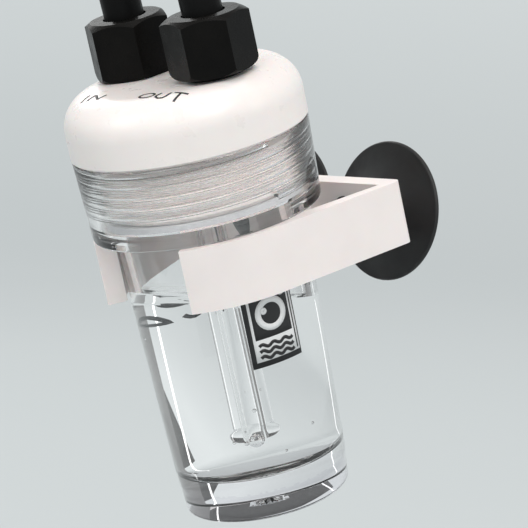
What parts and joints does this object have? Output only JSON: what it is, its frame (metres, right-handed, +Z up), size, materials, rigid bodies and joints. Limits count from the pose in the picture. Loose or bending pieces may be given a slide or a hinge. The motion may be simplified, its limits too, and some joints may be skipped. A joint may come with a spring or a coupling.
{
  "type": "bubble counter",
  "caption": "Clear screw-together bubble counter with dip tube, check valve and hose unions, held in a clip bracket with rubber suction cups.",
  "frame": {"origin": "on the glass pane, midway between the centres of the two suction cup rims", "axes": "+Z up, +Y into the pane, +X along the bracket towards the OUT port; the counter leans 19.7 degrees away from the pane at the top"},
  "size_m": [0.0922, 0.1095, 0.141],
  "materials": {
    "clear_chamber": "clear polished",
    "clear_tube": "clear polished",
    "white_cap": "satin moulded",
    "white_bracket": "satin moulded",
    "black_nut": "satin moulded",
    "black_stem": "satin moulded",
    "grey_ferrule": "satin",
    "black_rubber": "soft satin",
    "seal_rubber": "matte",
    "valve_plastic": "satin",
    "valve_rubber": "matte",
    "spring_steel": "bright wire",
    "hose_black": "smooth satin",
    "tie_grey": "matte"
  },
  "bodies": {
    "holder": {"bracket": "white_bracket"},
    "cup_left": {"suction_cup_left": "black_rubber"},
    "cup_right": {"suction_cup_right": "black_rubber"},
    "chamber": {"chamber": "clear_chamber"},
    "seal": {"cap_seal": "seal_rubber"},
    "cap": {"cap": "white_cap", "dip_tube": "clear_tube", "valve_seat": "valve_plastic", "valve_spring": "spring_steel", "port_stem_in": "black_stem", "port_stem_out": "black_stem", "hose_in": "hose_black", "hose_out": "hose_black", "hose_hank_in": "hose_black", "hose_hank_out": "hose_black", "hank_tie_in": "tie_grey", "hank_tie_out": "tie_grey"},
    "valve": {"valve_disc": "valve_rubber"},
    "ferrule_in": {"ferrule_in": "grey_ferrule"},
    "nut_in": {"union_nut_in": "black_nut"},
    "ferrule_out": {"ferrule_out": "grey_ferrule"},
    "nut_out": {"union_nut_out": "black_nut"}
  },
  "joints": [
    {"name": "cup_tilt_right", "type": "hinge", "parent": "holder", "child": "cup_right", "pos_m": [0.0113, -0.0075, 0], "axis": [1, 0, 0], "range_deg": [-4, 22]},
    {"name": "cup_tilt_left", "type": "hinge", "parent": "holder", "child": "cup_left", "pos_m": [-0.0113, -0.0075, 0], "axis": [1, 0, 0], "range_deg": [-4, 22]},
    {"name": "lift_out", "type": "slide", "parent": "holder", "child": "chamber", "axis": [0, -0.3371, 0.9415], "range_m": [0, 0.046]},
    {"name": "cap_rise", "type": "slide", "parent": "chamber", "child": "seal", "axis": [0, -0.3371, 0.9415], "range_m": [0, 0.008]},
    {"name": "cap_unscrew", "type": "hinge", "parent": "seal", "child": "cap", "pos_m": [0, -0.03196, 0.01328], "axis": [0, -0.3371, 0.9415], "range_deg": [0, 1920]},
    {"name": "valve_open", "type": "slide", "parent": "cap", "child": "valve", "axis": [0, 0.3371, -0.9415], "range_m": [0, 0.0008], "stiffness_N_per_m": 60, "springref_m": -0.0005, "deforming": ["valve_spring"]},
    {"name": "nut_in_rise", "type": "slide", "parent": "cap", "child": "ferrule_in", "axis": [0, -0.3371, 0.9415], "range_m": [0, 0.005]},
    {"name": "nut_in_unscrew", "type": "hinge", "parent": "ferrule_in", "child": "nut_in", "pos_m": [-0.0087, -0.03533, 0.0227], "axis": [0, -0.3371, 0.9415], "range_deg": [0, 1440]},
    {"name": "nut_out_rise", "type": "slide", "parent": "cap", "child": "ferrule_out", "axis": [0, -0.3371, 0.9415], "range_m": [0, 0.005]},
    {"name": "nut_out_unscrew", "type": "hinge", "parent": "ferrule_out", "child": "nut_out", "pos_m": [0.0087, -0.03533, 0.0227], "axis": [0, -0.3371, 0.9415], "range_deg": [0, 1440]}
  ],
  "couplings": [
    {"joint": "cup_tilt_left", "follows": "cup_tilt_right", "ratio": 1},
    {"joint": "cap_rise", "follows": "cap_unscrew", "m_per_rad": 0.00023873},
    {"joint": "nut_in_unscrew", "follows": "nut_in_rise", "rad_per_m": 5026.5},
    {"joint": "nut_out_unscrew", "follows": "nut_out_rise", "rad_per_m": 5026.5}
  ]
}
